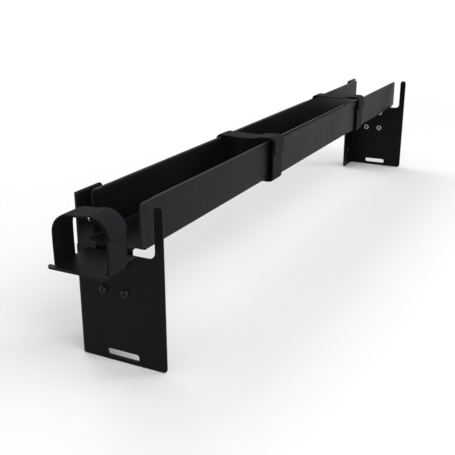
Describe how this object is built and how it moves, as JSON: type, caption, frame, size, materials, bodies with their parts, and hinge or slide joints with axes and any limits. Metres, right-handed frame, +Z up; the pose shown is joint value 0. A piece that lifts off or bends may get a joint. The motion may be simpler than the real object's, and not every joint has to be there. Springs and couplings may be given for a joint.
{
  "type": "horizontal cable manager",
  "caption": "Telescoping open-top cable trough that bolts between a rack's front and rear posts, with notched end brackets and wrap-around straps.",
  "frame": {"origin": "middle of the front bracket's two post holes, on the flange face that meets the post", "axes": "+X away from the post, +Y from the front post to the rear post along the trough, +Z up"},
  "size_m": [0.084, 0.7892, 0.1439],
  "materials": {
    "black_powder_coat": "black powder coat, fine satin texture",
    "black_oxide_steel": "oiled black oxide, button heads",
    "zinc_plated_steel": "bright zinc plate",
    "hook_and_loop_strap": "black woven hook-and-loop tape"
  },
  "bodies": {
    "front_section": {"front_bracket": "black_powder_coat", "front_channel": "black_powder_coat", "entry_strap": "hook_and_loop_strap", "front_lower_left_screw": "black_oxide_steel", "front_lower_left_nut": "zinc_plated_steel", "front_lower_right_screw": "black_oxide_steel", "front_lower_right_nut": "zinc_plated_steel", "front_upper_left_screw": "black_oxide_steel", "front_upper_left_nut": "zinc_plated_steel", "front_upper_right_screw": "black_oxide_steel", "front_upper_right_nut": "zinc_plated_steel"},
    "rear_section": {"rear_bracket": "black_powder_coat", "rear_channel": "black_powder_coat", "middle_strap": "hook_and_loop_strap", "rear_strap": "hook_and_loop_strap", "rear_lower_left_screw": "black_oxide_steel", "rear_lower_left_nut": "zinc_plated_steel", "rear_lower_right_screw": "black_oxide_steel", "rear_lower_right_nut": "zinc_plated_steel", "rear_upper_left_screw": "black_oxide_steel", "rear_upper_left_nut": "zinc_plated_steel", "rear_upper_right_screw": "black_oxide_steel", "rear_upper_right_nut": "zinc_plated_steel", "lock_screw_1": "black_oxide_steel", "lock_washer_1": "zinc_plated_steel", "lock_nut_1": "zinc_plated_steel", "lock_screw_2": "black_oxide_steel", "lock_washer_2": "zinc_plated_steel", "lock_nut_2": "zinc_plated_steel"}
  },
  "joints": [
    {"name": "length_adjust", "type": "slide", "parent": "front_section", "child": "rear_section", "axis": [0, 1, 0], "range_m": [-0.232, 0.022]}
  ]
}
